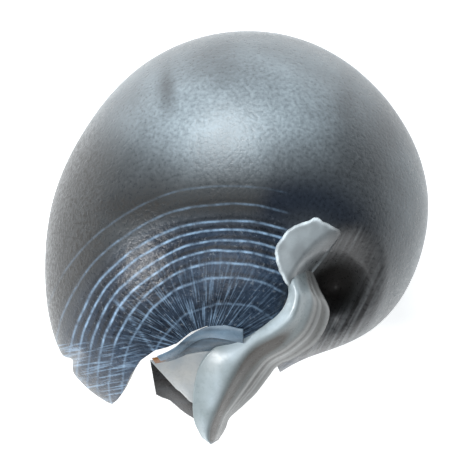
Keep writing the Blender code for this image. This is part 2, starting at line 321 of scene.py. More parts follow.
# Masks at picture places: spiral lines, their grooves, growth lines fanning from a pole with coarse
# ridges on the tongue, and the dark unworn zone
def surfaceLines(x, y, near):
    marks = reliefMarks
    front = climb(near, *marks["front"])
    sway = marks["sway"] * np.sin(x * marks["swayRate"])
    sway = sway + marks["drift"] * ripple(x, y, near, marks["driftGrain"], 21)
    poleX, poleY = whorl["arcPole"]
    reach = np.hypot(x - poleX, (y - poleY) * marks["squash"]) + sway
    lines, grooves = np.zeros(np.shape(x)), np.zeros(np.shape(x))
    for radius, strength in zip(whorl["arcRadii"], whorl["arcStrengths"]):
        gap = reach - radius
        lines = np.maximum(lines, strength * bell(gap, marks["lineWidth"]))
        grooves = np.maximum(grooves, strength * bell(gap - marks["grooveGap"], marks["grooveWidth"]))
    breaks = marks["breakBase"] + marks["breakShare"] * ripple(x, y, near, marks["breakGrain"], 5)
    growX, growY = whorl["growthPole"]
    turn = np.arctan2(growY - y, x - growX)
    spread = np.hypot(x - growX, y - growY)
    warp = turn + marks["warp"] * ripple(x, y, near, marks["warpGrain"], 8)
    first, second, third = marks["fineRates"]
    fine = np.sin(warp * first) * np.sin(warp * second + marks["finePhase"])
    fine = fine + marks["fineShare"] * np.sin(warp * third)
    turnRate, spreadRate = marks["patchRates"]
    patches = ripple(turn * turnRate, spread * spreadRate, 0.0, marks["patchGrain"], 9)
    patches = climb(patches, *marks["patchFrom"])
    growth = climb(fine, *marks["fineFrom"]) * patches * fall(spread, *marks["growthReach"])
    phase = (y + marks["ridgeSlant"] * x) * marks["ridgeRate"]
    phase = phase + marks["ridgeDrift"] * ripple(x, y, near, marks["ridgeGrain"], 10)
    ridges = bell(np.sin(phase) - 1.0, marks["ridgeWidth"]) * marks["ridgeShare"]
    tongue = fall(x, *marks["tongueSide"]) * climb(y, *marks["tongueTop"])
    growth = np.maximum(growth * (1.0 - tongue), ridges * tongue)
    zone = fall(reach, *marks["zoneReach"]) * front
    return lines * breaks * front, grooves * front, growth * front, zone


# Flattens what lies below the resting height
def pressed(points, inset):
    points[..., 2] = np.maximum(points[..., 2], inset)
    return points


# The body's skin: the outside drawn in a little under its relief, then the inside, joined at the mouth
def bodySurface():
    middle, wall = np.array(layout["bodyCentre"]), whorl["wall"]
    outerWay, innerWay = bodyWays(whorl["rowsOutside"]), bodyWays(whorl["rowsInside"])
    outer = standing(bodyPoints(outerWay, 0.0))
    height = relief(*pictured(outer))
    radial = (outer - middle) / np.linalg.norm(outer - middle, axis=-1, keepdims=True)
    outer = middle + (outer - middle) * whorl["drawnIn"] + radial * height[..., None]
    outer = pressed(outer, 0.0)
    inner = pressed(standing(bodyPoints(innerWay, wall)), wall)
    tip = pressed(standing(bodyPoints(apexWay[None], 0.0)), 0.0)
    base = pressed(standing(bodyPoints(apexWay[None], wall)), wall)
    points = np.vstack([outer[::-1].reshape(-1, 3), inner.reshape(-1, 3), tip, base])
    outerCount, innerCount = outer.shape[0] * outer.shape[1], inner.shape[0] * inner.shape[1]
    inside = np.concatenate([np.zeros(outerCount), np.ones(innerCount), [0.0, 1.0]])
    seam = np.concatenate([suture(outerWay)[::-1].ravel(), np.zeros(innerCount + 2)])
    return points, ringFaces(outer.shape[0] + inner.shape[0], whorl["around"]), inside, seam


print("stage: inner lip and broken layers")
innerLip = {
    "stations": (((286, 262), (294, 266), (302, 268), (312, 272), 161),
                 ((284, 276), (293, 279), (303, 281), (318, 287), 169),
                 ((287, 292), (297, 295), (307, 299), (328, 311), 170),
                 ((280, 309), (290, 316), (299, 323), (318, 337), 164),
                 ((263, 323), (272, 331), (282, 341), (297, 354), 156),
                 ((239, 332), (251, 343), (263, 353), (277, 364), 148),
                 ((214, 346), (237, 358), (252, 364), (268, 375), 141),
                 ((201, 361), (227, 376), (241, 380), (256, 391), 132),
                 ((195, 381), (219, 394), (230, 398), (243, 404), 122),
                 ((193, 402), (212, 411), (222, 413), (230, 416), 112),
                 ((195, 420), (208, 425), (217, 426), (225.5, 427), 103),
                 ((202, 435), (208, 437), (214, 438), (219, 438), 96)),
    "tip": (211, 442, 92),
    "edgeDrop": (7.0, 0.0, 16.0, 40.0),
    "wall": 0.0026,
    "rows": 220,
    "across": 90,
    "streakDepth": 0.00013,
    "streakRates": (95.0, 4.0, 13.0),
    "streakFrom": (0.62, 0.2),
    "streakTo": (0.97, 0.03),
    "sectionSquare": 4,
}


# Lip section, rounded at both edges, carried along its stations to the point
def lipSurface():
    drops = innerLip["edgeDrop"]
    corners = [[(*place, depth - drop) for place, drop in zip(places, drops)]
               for *places, depth in innerLip["stations"]]
    rows, half = innerLip["rows"], innerLip["across"] // 2
    stations = catmull(np.reshape(corners, (len(corners), 12)), rows).reshape(rows, 4, 3)
    across = np.linspace(0.0, 1.0, half + 1)
    columns = catmull(stations.transpose(1, 0, 2).reshape(4, rows * 3), half + 1)
    front = columns.reshape(half + 1, rows, 3).transpose(1, 0, 2).copy()
    swell = np.sqrt(np.clip(1.0 - (2.0 * across - 1.0) ** innerLip["sectionSquare"], 0.0, 1.0))
    swell = swell * innerLip["wall"] / layout["unit"]
    back = front - swell[None, :, None] * np.array([0.0, 0.0, 1.0])
    rate, bend, bendRate = innerLip["streakRates"]
    streaks = np.sin(across * rate + bend * np.sin(across * bendRate))
    streaks = streaks * climb(across, *innerLip["streakFrom"]) * (1.0 - climb(across, *innerLip["streakTo"]))
    front[..., 2] += streaks[None] * innerLip["streakDepth"] / layout["unit"]
    loop = np.concatenate([front, back[:, -2:0:-1]], axis=1)
    section = np.concatenate([across, across[-2:0:-1]])
    away = np.linspace(0.0, 1.0, rows)
    facing = np.concatenate([np.ones(half + 1), np.zeros(half - 1)])
    points = standing(at(loop[..., 0], loop[..., 1], loop[..., 2]))
    ends = np.vstack([points[0].mean(0), standing(at(*innerLip["tip"]))])
    count = loop.shape[1]
    sectionAll = np.concatenate([np.tile(section, rows), [0.5, 0.3]])
    alongAll = np.concatenate([np.repeat(away, count), [0.0, 1.0]])
    facingAll = np.concatenate([np.tile(facing, rows), [1.0, 1.0]])
    return np.vstack([points.reshape(-1, 3), ends]), ringFaces(rows, count), sectionAll, alongAll, facingAll



brokenLayers = {
    "ledgeOuter": {
        "upper": ((158, 354, 141), (174, 346, 147), (188, 335, 152), (204, 326, 156), (221, 323, 158),
                  (243, 327, 158)),
        "lower": ((162, 359, 134), (180, 351, 139), (194, 341, 143), (209, 336, 147), (224, 337, 149),
                  (243, 341, 148)),
        "wall": 0.0030, "tone": 0.78, "streak": 0.6},
    "ledgeInner": {
        "upper": ((153, 356, 128), (174, 352, 132), (192, 342, 138), (208, 336, 142), (223, 337, 144),
                  (242, 340, 142)),
        "lower": ((157, 362, 118), (174, 359, 121), (190, 353, 124), (207, 350, 128), (222, 346, 132),
                  (238, 346, 132)),
        "wall": 0.0030, "tone": 0.30, "streak": 0.5},
    "innerWall": {
        "upper": ((151, 358, 122), (168, 356, 124), (186, 352, 126), (204, 349, 129), (222, 346, 130)),
        "lower": ((177, 387, 96), (181, 390, 96), (186, 395, 97), (192, 400, 98), (205, 404, 99)),
        "wall": 0.0014, "tone": 1.0, "streak": 0.15},
    # Painted shade: a dark sheet set deep inside, standing for the shade in the broken hole
    "holeShadeWall": {
        "upper": ((151, 357, 120), (163, 369, 109), (176, 383, 97), (188, 395, 95), (202, 403, 97)),
        "lower": ((157, 393, 92), (163, 396, 84), (171, 399, 78), (184, 410, 76), (200, 420, 84)),
        "wall": 0.0014, "tone": 0.16, "streak": 0.3},
}


layerMarks = {"columns": 90, "across": 22, "grain": 6.0, "jag": 1.1, "edgeShare": 0.6, "streakShare": 0.5,
              "swell": 2.0}


# A thin layer lofted between two edges, uneven at both and swelling between: front, back and four sides
def layerSurface(layer):
    marks = layerMarks
    columns, across = marks["columns"], marks["across"]
    upper, lower = catmull(layer["upper"], columns), catmull(layer["lower"], columns)
    share = np.linspace(0.0, 1.0, across)[None, :, None]
    front = upper[:, None] * (1.0 - share) + lower[:, None] * share
    jag = ripple(front[..., 0], front[..., 1], front[..., 2], marks["grain"], 31) * marks["jag"]
    rim = np.sin(share[..., 0] * math.pi)
    front[..., 1] += jag * (1.0 - rim) * marks["edgeShare"]
    front[..., 2] += jag * marks["streakShare"] * layer["streak"] + marks["swell"] * rim
    back = front - np.array([0.0, 0.0, layer["wall"] / layout["unit"]])
    loop = np.concatenate([front, back[:, ::-1]], axis=1)
    points = standing(at(loop[..., 0], loop[..., 1], loop[..., 2]))
    ends = np.vstack([points[0].mean(0), points[-1].mean(0)])
    return np.vstack([points.reshape(-1, 3), ends]), ringFaces(columns, loop.shape[1])


callusLobe = {
    "outline": ((284, 282), (279, 272), (275.5, 264), (273.5, 255), (275, 245), (280, 237), (287, 229),
                (297, 224), (306, 220.5), (314, 217.5), (322, 221), (332, 226), (339, 232), (334, 243),
                (326, 254), (318, 264), (309, 275), (301, 284), (292, 288)),
    "middle": (301.0, 252.0),
    "lift": 3.4,
    "sink": 5.0,
    "rows": 46,
    "around": 220,
    "jags": ((0.045, 2.4, 17), (0.02, 9.0, 18)),
    "innermost": 0.02,
    "rimWidth": 0.10,
    "swell": (1.2, 0.15, 0.5),
    "uneven": (0.35, 9.0, 19),
    "depthRounds": 6,
}


# Depth of the body's front under picture places, with the hollow taken out
def outsideDepth(x, y):
    right, up = x - layout["centre"][0], layout["centre"][1] - y
    angle = np.arctan2(up, right)
    mean = sum(whorl["radii"]) / len(whorl["radii"])
    flat = np.hypot(right, up) / mean
    for _ in range(callusLobe["depthRounds"]):
        flat = np.hypot(right, up) / (mean + (bodyRadius(angle) - mean) * flat ** whorl["outlineShare"])
    near = np.sqrt(np.clip(1.0 - flat ** 2, 0.0, 1.0)) * whorl["frontDepth"]
    return near - hollowDepth(x, y, 0.0) / layout["unit"]


# Thin callus spread on the body: rings shrunk from a jagged outline, rounded at the rim
def lobeSurface():
    loop = np.vstack([callusLobe["outline"], callusLobe["outline"][:1]])
    ring = catmull(loop, callusLobe["around"] + 1)[:-1]
    middle = np.array(callusLobe["middle"])
    jag = 1.0
    for share, grain, seed in callusLobe["jags"]:
        jag = jag + share * ripple(ring[:, 0], ring[:, 1], 0.0, grain, seed)
    ring = middle + (ring - middle) * jag[:, None]
    share = np.linspace(1.0, callusLobe["innermost"], callusLobe["rows"])[:, None, None]
    flat = middle + (ring[None] - middle) * share
    x, y = flat[..., 0], flat[..., 1]
    inner = 1.0 - share[..., 0]
    swell, start, length = callusLobe["swell"]
    rise = callusLobe["lift"] * np.sqrt(smooth(inner / callusLobe["rimWidth"]))
    rise = rise + swell * climb(inner, start, length)
    uneven, grain, seed = callusLobe["uneven"]
    near = outsideDepth(x, y) + rise + uneven * ripple(x, y, 0.0, grain, seed)
    top = standing(at(x, y, near))
    under = standing(at(x, y, outsideDepth(x, y) - callusLobe["sink"]))
    points = np.concatenate([top[::-1], under])
    ends = np.vstack([top[-1].mean(0), under[-1].mean(0)])
    rows = points.shape[0]
    edge = np.concatenate([inner[::-1, 0], inner[:, 0] * 0.0])
    edgeAll = np.concatenate([np.repeat(edge, callusLobe["around"]), [1.0, 0.0]])
    return np.vstack([points.reshape(-1, 3), ends]), ringFaces(rows, callusLobe["around"]), edgeAll


# A mesh with its masks and its normals turned outward, riding on the part
def makePiece(name, points, faces, masks):
    quads, caps = faces
    mesh = bpy.data.meshes.new(name)
    mesh.from_pydata(points.tolist(), [], quads.tolist() + caps.tolist())
    corners = np.vstack([quads[:, [0, 1, 2]], quads[:, [0, 2, 3]], caps])
    triangles = points[corners]
    volume = np.einsum("ij,ij->i", triangles[:, 0], np.cross(triangles[:, 1], triangles[:, 2])).sum()
    if volume < 0.0:
        mesh.flip_normals()
    for label, values in masks.items():
        layer = mesh.attributes.new(label, "FLOAT", "POINT")
        layer.data.foreach_set("value", np.asarray(values, np.float32))
    piece = bpy.data.objects.new(name, mesh)
    bpy.context.scene.collection.objects.link(piece)
    mesh.shade_smooth()
    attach(piece, "root")
    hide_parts("shell")
    return piece


print("stage: materials")


def newGroup(name, inputs, outputs):
    group = bpy.data.node_groups.new(name, "ShaderNodeTree")
    for label, kind, value in inputs:
        socket = group.interface.new_socket(name=label, in_out="INPUT", socket_type=kind)
        if value is not None:
            socket.default_value = value
    for label, kind in outputs:
        group.interface.new_socket(name=label, in_out="OUTPUT", socket_type=kind)
    return group, group.nodes.new("NodeGroupInput"), group.nodes.new("NodeGroupOutput")


def mathNode(tree, operation, first, second=None, third=None, clamp=False):
    node = tree.nodes.new("ShaderNodeMath")
    node.operation = operation
    node.use_clamp = clamp
    for socket, value in zip(node.inputs, (first, second, third)):
        if isinstance(value, (int, float)):
            socket.default_value = value
        elif value is not None:
            tree.links.new(value, socket)
    return node.outputs[0]


def mixColour(tree, factor, first, second, blend="MIX"):
    node = tree.nodes.new("ShaderNodeMix")
    node.data_type = "RGBA"
    node.blend_type = blend
    for socket, value in ((node.inputs[0], factor), (node.inputs[6], first), (node.inputs[7], second)):
        if isinstance(value, (int, float)):
            socket.default_value = value
        elif isinstance(value, tuple):
            socket.default_value = (*value, 1.0)
        else:
            tree.links.new(value, socket)
    return node.outputs[2]


def preset(node, values):
    for label, value in values.items():
        node.inputs[label].default_value = value


def rampNode(tree, value, low, high):
    node = tree.nodes.new("ShaderNodeMapRange")
    preset(node, {"From Min": low, "From Max": high})
    tree.links.new(value, node.inputs["Value"])
    return node.outputs["Result"]


# Worn grain shared by every finish: fine speckle, soft clouds and a height for the bump
def wornGrain():
    group, source, sink = newGroup(
        "wornGrain",
        (("Vector", "NodeSocketVector", None), ("Speckle Scale", "NodeSocketFloat", 900.0),
         ("Cloud Scale", "NodeSocketFloat", 60.0)),
        (("Speckle", "NodeSocketFloat"), ("Cloud", "NodeSocketFloat"), ("Height", "NodeSocketFloat")))
    speckle = group.nodes.new("ShaderNodeTexNoise")
    speckle.inputs["Detail"].default_value = 3.0
    cloud = group.nodes.new("ShaderNodeTexNoise")
    cloud.inputs["Detail"].default_value = 4.0
    for node, label in ((speckle, "Speckle Scale"), (cloud, "Cloud Scale")):
        group.links.new(source.outputs["Vector"], node.inputs["Vector"])
        group.links.new(source.outputs[label], node.inputs["Scale"])
    group.links.new(rampNode(group, speckle.outputs[0], 0.35, 0.68), sink.inputs["Speckle"])
    group.links.new(rampNode(group, cloud.outputs[0], 0.32, 0.68), sink.inputs["Cloud"])
    height = mathNode(group, "MULTIPLY_ADD", speckle.outputs[0], 0.6, cloud.outputs[0])
    group.links.new(height, sink.inputs["Height"])
    return group


grain = wornGrain()


def startMaterial(name, coat, speckleScale, cloudScale):
    material = bpy.data.materials.new(name)
    material.use_nodes = True
    tree = material.node_tree
    shader = tree.nodes["Principled BSDF"]
    preset(shader, {"Coat Weight": coat, "Coat Roughness": 0.28, "Specular IOR Level": 0.35})
    place = tree.nodes.new("ShaderNodeTexCoord")
    node = tree.nodes.new("ShaderNodeGroup")
    node.node_tree = grain
    preset(node, {"Speckle Scale": speckleScale, "Cloud Scale": cloudScale})
    tree.links.new(place.outputs["Object"], node.inputs["Vector"])
    return material, tree, shader, node


def maskNode(tree, label):
    node = tree.nodes.new("ShaderNodeAttribute")
    node.attribute_name = label
    return node.outputs["Fac"]


# Joins a colour, a roughness growing with the speckle, and the grain's bump to the shader
def finishMaterial(tree, shader, node, colour, roughness, strength, distance):
    tree.links.new(colour, shader.inputs["Base Color"])
    rough = mathNode(tree, "MULTIPLY_ADD", node.outputs["Speckle"], *roughness)
    tree.links.new(rough, shader.inputs["Roughness"])
    bump = tree.nodes.new("ShaderNodeBump")
    preset(bump, {"Strength": strength, "Distance": distance})
    tree.links.new(node.outputs["Height"], bump.inputs["Height"])
    tree.links.new(bump.outputs["Normal"], shader.inputs["Normal"])


# Noise rates across and along with their detail, fades, and distances in picture units
lineMarks = {
    "sway": (2.2, 0.02, 2.0), "swayReach": 7.0, "arcFade": (1.7, 0.2), "grooveGap": 3.6,
    "grooveShadowFade": (2.6, 0.4), "patches": (14.0, 0.08, 3.0), "patchFade": (0.34, 0.62), "patchShare": 0.80,
    "hairs": (34.0, 0.035, 4.0), "hairFade": (0.50, 0.66), "hairReach": (108.0, 18.0), "ridgeSlant": 0.22,
    "ridges": (0.035, 0.42, 3.0), "ridgeFade": (0.50, 0.64), "dashes": (0.07, 0.50, 2.0),
    "dashFade": (0.54, 0.66), "streakWay": (0.45, 0.89), "streaks": (0.30, 0.012, 3.0),
    "streakFade": (0.40, 0.66),
}


# Fine lines from the object's own place: spiral arcs with a painted shadow line outside each, fanning
# growth lines about a pole, coarse ridges, dashes and streaks along the hollow, each from stretched noise
def lineWork():
    marks = lineMarks
    labels = ("Arcs", "GrooveShadows", "Growth", "Ridges", "Dashes", "Streaks")
    group, source, sink = newGroup("lineWork", (("Vector", "NodeSocketVector", None),),
                                   tuple((label, "NodeSocketFloat") for label in labels))
    unit, centre, middle = layout["unit"], layout["centre"], layout["bodyCentre"]
    split = group.nodes.new("ShaderNodeSeparateXYZ")
    group.links.new(source.outputs["Vector"], split.inputs[0])
    level = centre[1] + (middle[1] * tiltCos + middle[2] * tiltSin) / unit
    rise = mathNode(group, "MULTIPLY_ADD", split.outputs[2], -tiltSin / unit, level)
    x = mathNode(group, "MULTIPLY_ADD", split.outputs[0], 1.0 / unit, centre[0] - middle[0] / unit)
    y = mathNode(group, "MULTIPLY_ADD", split.outputs[1], -tiltCos / unit, rise)

    def times(first, second):
        return mathNode(group, "MULTIPLY", first, second)

    def noise(across, along, rates):
        join = group.nodes.new("ShaderNodeCombineXYZ")
        group.links.new(times(across, rates[0]), join.inputs[0])
        group.links.new(times(along, rates[1]), join.inputs[1])
        node = group.nodes.new("ShaderNodeTexNoise")
        preset(node, {"Scale": 1.0, "Detail": rates[2]})
        group.links.new(join.outputs[0], node.inputs["Vector"])
        return node.outputs[0]

    def polar(pole):
        right = mathNode(group, "SUBTRACT", x, pole[0])
        up = mathNode(group, "SUBTRACT", pole[1], y)
        squares = mathNode(group, "ADD", times(right, right), times(up, up))
        return mathNode(group, "SQRT", squares), mathNode(group, "ARCTAN2", up, right)

    def rings(further, fade):
        most = 0.0
        for radius, strength in zip(whorl["arcRadii"], whorl["arcStrengths"]):
            gap = mathNode(group, "ABSOLUTE", mathNode(group, "SUBTRACT", reach, radius + further))
            most = mathNode(group, "MAXIMUM", most, times(rampNode(group, gap, *fade), strength))
        return most

    def give(label, value):
        group.links.new(value, sink.inputs[label])

    reach, turn = polar(whorl["arcPole"])
    sway = noise(turn, reach, marks["sway"])
    centred = mathNode(group, "SUBTRACT", reach, marks["swayReach"] / 2.0)
    reach = mathNode(group, "MULTIPLY_ADD", sway, marks["swayReach"], centred)
    patchy = rampNode(group, noise(turn, reach, marks["patches"]), *marks["patchFade"])
    patchy = mathNode(group, "MULTIPLY_ADD", patchy, marks["patchShare"], 1.0 - marks["patchShare"])
    give("Arcs", times(rings(0.0, marks["arcFade"]), patchy))
    # Painted shadow: the dark line just outside each spiral arc
    give("GrooveShadows", rings(marks["grooveGap"], marks["grooveShadowFade"]))
    spread, fan = polar(whorl["growthPole"])
    hairs = rampNode(group, noise(fan, spread, marks["hairs"]), *marks["hairFade"])
    give("Growth", times(hairs, rampNode(group, spread, *marks["hairReach"])))
    slant = mathNode(group, "MULTIPLY_ADD", x, marks["ridgeSlant"], y)
    give("Ridges", rampNode(group, noise(x, slant, marks["ridges"]), *marks["ridgeFade"]))
    give("Dashes", rampNode(group, noise(x, y, marks["dashes"]), *marks["dashFade"]))
    down, right = marks["streakWay"]
    aside = mathNode(group, "MULTIPLY_ADD", y, down, times(x, right))
    give("Streaks", rampNode(group, noise(aside, y, marks["streaks"]), *marks["streakFade"]))
    return group


fineLines = lineWork()

bodyFinish = {
    # The pale worn colour is worn paler grey and, over the top, also a painted highlight
    "worn": (0.058, 0.064, 0.070), "wornPaleAndSheen": (0.400, 0.480, 0.530), "brown": (0.024, 0.022, 0.020),
    "navy": (0.009, 0.017, 0.033), "navyPale": (0.030, 0.058, 0.105), "line": (0.36, 0.55, 0.78),
    # The hollow colour is painted shade for the hollow's deep part
    "hollow": (0.085, 0.080, 0.078), "wall": (0.070, 0.070, 0.073), "wallPale": (0.240, 0.255, 0.265),
    # The near-black groove colour is a painted shadow beside each spiral line
    "inside": (0.30, 0.285, 0.26), "speck": (0.34, 0.38, 0.40), "groove": (0.004, 0.006, 0.010),
    # The edge colour is a painted highlight along the hollow's crest
    "edge": (0.19, 0.21, 0.225), "dash": (0.006, 0.006, 0.006),
    "paleClouds": (0.5, 0.6), "brownSpecks": (0.5, 0.55), "shadeShare": 0.85, "grooveShadowShare": 0.8,
    "hairShare": 0.75, "speckAbove": 0.93, "speckShare": 0.22, "grainShare": 0.32, "roughness": (0.18, 0.27),
}


# Outside: worn grey, paler over the top where the pale colour is also a painted highlight, darkening to navy
# in the unworn zone, with pale spiral and growth lines and a painted shadow beside each spiral line, then
# the hollow with its painted shade and painted crest highlight, the inside and the seam, all under a fine
# speckle
def bodyMaterial():
    finish = bodyFinish
    material, tree, shader, node = startMaterial("shell_body", 0.06, 1500.0, 85.0)
    speckle, cloud = node.outputs["Speckle"], node.outputs["Cloud"]
    fine = tree.nodes.new("ShaderNodeGroup")
    fine.node_tree = fineLines
    place = tree.nodes.new("ShaderNodeTexCoord")
    tree.links.new(place.outputs["Object"], fine.inputs["Vector"])

    def times(first, second, clamp=False):
        return mathNode(tree, "MULTIPLY", first, second, clamp=clamp)

    def drawn(mask, lines):
        return times(maskNode(tree, mask), fine.outputs[lines])

    # Paler wear, and over the top a painted highlight standing for the light's reflection
    pale = times(maskNode(tree, "pale"), mathNode(tree, "MULTIPLY_ADD", cloud, *finish["paleClouds"]))
    colour = mixColour(tree, pale, finish["worn"], finish["wornPaleAndSheen"])
    brown = mathNode(tree, "MULTIPLY_ADD", speckle, *finish["brownSpecks"])
    colour = mixColour(tree, times(maskNode(tree, "brown"), brown, clamp=True), colour, finish["brown"])
    navy = mixColour(tree, cloud, finish["navy"], finish["navyPale"])
    colour = mixColour(tree, maskNode(tree, "zone"), colour, navy)
    colour = mixColour(tree, times(maskNode(tree, "shade"), finish["shadeShare"]), colour, finish["navy"])
    colour = mixColour(tree, times(drawn("dash", "Dashes"), finish["shadeShare"]), colour, finish["dash"])
    # Painted shadow: a near-black line beside each spiral line
    grooves = times(drawn("lined", "GrooveShadows"), finish["grooveShadowShare"])
    colour = mixColour(tree, grooves, colour, finish["groove"])
    hairs = mathNode(tree, "MAXIMUM", drawn("growth", "Growth"), drawn("ridged", "Ridges"))
    colour = mixColour(tree, times(hairs, finish["hairShare"]), colour, finish["line"])
    lines = mathNode(tree, "MAXIMUM", drawn("lined", "Arcs"), maskNode(tree, "scratch"))
    colour = mixColour(tree, lines, colour, finish["line"])
    dots = times(mathNode(tree, "GREATER_THAN", speckle, finish["speckAbove"]), finish["speckShare"])
    colour = mixColour(tree, times(dots, maskNode(tree, "zone")), colour, finish["speck"])
    striated = mixColour(tree, fine.outputs["Streaks"], finish["wall"], finish["wallPale"])
    colour = mixColour(tree, maskNode(tree, "wall"), colour, striated)
    # Painted highlight along the hollow's crest and painted shade in its deep part, then the inside and the
    # seam
    for mask, name in (("crestHighlight", "edge"), ("deepShade", "hollow"), ("inside", "inside"), ("seam", "dash")):
        colour = mixColour(tree, maskNode(tree, mask), colour, finish[name])
    colour = mixColour(tree, finish["grainShare"], colour, speckle, "MULTIPLY")
    finishMaterial(tree, shader, node, colour, finish["roughness"], 0.55, 0.0003)
    return material


lipFinish = {"ridge": (0.270, 0.325, 0.340), "pale": (0.520, 0.610, 0.660), "olive": (0.034, 0.026, 0.017),
             "wall": (0.420, 0.430, 0.430), "dark": (0.140, 0.135, 0.125)}


# Inner lip: pale glossy ridge, olive shaded groove and a streaked wall beside it
def lipMaterial():
    material, tree, shader, node = startMaterial("inner_lip", 0.4, 1100.0, 160.0)
    cloud = node.outputs["Cloud"]
    lit = mathNode(tree, "MULTIPLY", cloud, maskNode(tree, "lit"), clamp=True)
    colour = mixColour(tree, lit, lipFinish["ridge"], lipFinish["pale"])
    wall = mixColour(tree, maskNode(tree, "streak"), lipFinish["wall"], lipFinish["dark"])
    colour = mixColour(tree, maskNode(tree, "wallPart"), colour, wall)
    clouded = mathNode(tree, "MULTIPLY_ADD", cloud, 0.2, 0.9)
    olive = mathNode(tree, "MULTIPLY", maskNode(tree, "olive"), clouded, clamp=True)
    colour = mixColour(tree, olive, colour, lipFinish["olive"])
    finishMaterial(tree, shader, node, colour, (0.15, 0.24), 0.18, 0.0002)
    return material


# The darkest colour here is painted shade for the broken hole
layerFinish = {"dark": (0.030, 0.040, 0.055), "blue": (0.19, 0.28, 0.37), "white": (0.50, 0.51, 0.50),
               "streak": (0.07, 0.085, 0.10), "rust": (0.25, 0.10, 0.02), "deepShade": (0.018, 0.014, 0.012)}


# Broken layers: two colours in streaks and clouds, with a rust stain
def layerMaterial(name, base, second):
    material, tree, shader, node = startMaterial(name, 0.3, 1300.0, 240.0)
    colour = mixColour(tree, maskNode(tree, "streak"), base, second)
    colour = mixColour(tree, mathNode(tree, "MULTIPLY", node.outputs["Cloud"], 0.35), colour, second)
    colour = mixColour(tree, maskNode(tree, "rust"), colour, layerFinish["rust"])
    finishMaterial(tree, shader, node, colour, (0.2, 0.22), 0.35, 0.0002)
    return material


# The rim colour is a painted highlight along the lobe's edge, and the darkest colour is painted shade towards
# the hollow
lobeFinish = {"grey": (0.240, 0.265, 0.280), "pale": (0.380, 0.430, 0.455), "rim": (0.80, 0.90, 0.95),
              "lobeShade": (0.045, 0.045, 0.047)}


# Callus: clouded grey, a painted highlight along the rim on the left and painted shade darkening it towards
# the hollow
def lobeMaterial():
    material, tree, shader, node = startMaterial("callus_lobe", 0.35, 900.0, 170.0)
    colour = mixColour(tree, node.outputs["Cloud"], lobeFinish["grey"], lobeFinish["pale"])
    # Painted shade towards the hollow
    colour = mixColour(tree, maskNode(tree, "lobeShade"), colour, lobeFinish["lobeShade"])
    # Painted highlight along the rim on the lit side
    colour = mixColour(tree, maskNode(tree, "rim"), colour, lobeFinish["rim"])
    finishMaterial(tree, shader, node, colour, (0.2, 0.25), 0.25, 0.0002)
    return material


print("stage: pieces")


# Where the body's colours lie, in picture units: soft steps, soft spots and how strongly each counts
bodyMarks = {
    "front": (-20.0, 60.0), "facing": (1.0, 16.0), "hollowFront": (0.0, 20.0), "fullHollow": 0.0215,
    "hollowLeft": (262.0, 25.0), "wallSunk": (0.10, 0.35), "deepSunk": (0.50, 0.45), "deepShadeShare": 0.8,
    "slope": ((348.0, 34.0), (268.0, 30.0)), "slopeLeft": (296.0, 14.0), "slopeShadeShare": 0.75,
    "bowl": (330.0, 296.0), "bowlWay": (0.454, 0.891), "bowlSize": (84.0, 52.0), "bowlWall": (1.0, 0.30),
    "bowlLeft": (285.0, 15.0), "crestWidth": 0.07, "crestLeft": (330.0, 25.0), "crestTop": (262.0, 14.0),
    "shade": (300.0, 262.0), "shadeRing": (62.0, 26.0), "shadeEnd": (258.0, 40.0), "shadeLeft": (245.0, 30.0),
    "clouds": (0.45, 26.0), "wearAndSheenMiddle": (232.0, 108.0), "wearAndSheenSize": (150.0, 82.0),
    "wearAndSheenFade": (1.05, 0.95, 1.15), "cloudShare": 0.35,
    "darkBands": ((0.75, 6.0, (168.0, 9.0), (90.0, 26.0)), (0.35, 8.0, (345.0, 10.0), (100.0, 50.0))),
    "rightPale": (0.22, (372.0, 40.0), (110.0, 60.0)),
    "lowPale": (0.30, (278.0, 20.0), (322.0, 26.0), (384.0, 20.0)),
    "hiddenPale": (0.42, 0.30), "brownLeft": (160.0, 80.0), "brownTop": (60.0, 110.0),
    "belt": (0.9, 208.0, 10.0, 26.0), "beltRight": (330.0, 60.0), "hiddenBrown": 0.30,
    "zoneRight": (286.0, 60.0), "zoneTop": (186.0, 50.0), "linesRight": (276.0, 14.0),
    "tongueSide": (152.0, 30.0), "tongueTop": (336.0, 12.0), "tongueLines": 0.55, "ridgeShare": 0.7,
    "scratch": (118.0, 300.0, 1.31, 0.9), "scratchLeft": (112.0, 6.0), "scratchRight": (162.0, 6.0),
    "scratchShare": 0.55, "crestHighlightShare": 0.7, "dash": ((66.0, 16.0), (238.0, 34.0)), "seamShare": 0.8,
}


# The hollow: its striated wall, its deep part darkened with painted shade, a painted highlight along the
# crest at its rim and the shade round the lobe
def hollowMasks(x, y, near, front):
    marks = bodyMarks
    seen = climb(near, *marks["hollowFront"])
    sunk = hollowDepth(x, y, 0.0) / marks["fullHollow"] * seen * climb(x, *marks["hollowLeft"])
    # Painted shade: the deep part of the hollow and a spot on the slope below the lobe, darkened where shade
    # falls
    slope = spot(x, y, *marks["slope"]) * climb(x, *marks["slopeLeft"])
    deepShade = climb(sunk, *marks["deepSunk"]) * marks["deepShadeShare"] + marks["slopeShadeShare"] * slope
    right, down = x - marks["bowl"][0], y - marks["bowl"][1]
    cos, sin = marks["bowlWay"]
    length, width = marks["bowlSize"]
    bowl = np.hypot((right * cos - down * sin) / length, (right * sin + down * cos) / width)
    # Painted highlight: a pale line along the crest of the hollow's rim
    crestHighlight = bell(bowl - 1.0, marks["crestWidth"]) * climb(x, *marks["crestLeft"])
    crestHighlight = crestHighlight * climb(y, *marks["crestTop"]) * front * marks["crestHighlightShare"]
    inBowl = fall(bowl, *marks["bowlWall"]) * climb(x, *marks["bowlLeft"])
    wall = np.maximum(climb(sunk, *marks["wallSunk"]), inBowl) * seen
    ring = np.hypot(x - marks["shade"][0], y - marks["shade"][1])
    shade = bell(ring - marks["shadeRing"][0], marks["shadeRing"][1])
    shade = shade * fall(y, *marks["shadeEnd"]) * climb(x, *marks["shadeLeft"])
    return {"wall": wall, "deepShade": np.clip(deepShade, 0, 1) * seen, "crestHighlight": crestHighlight, "shade": shade * front}
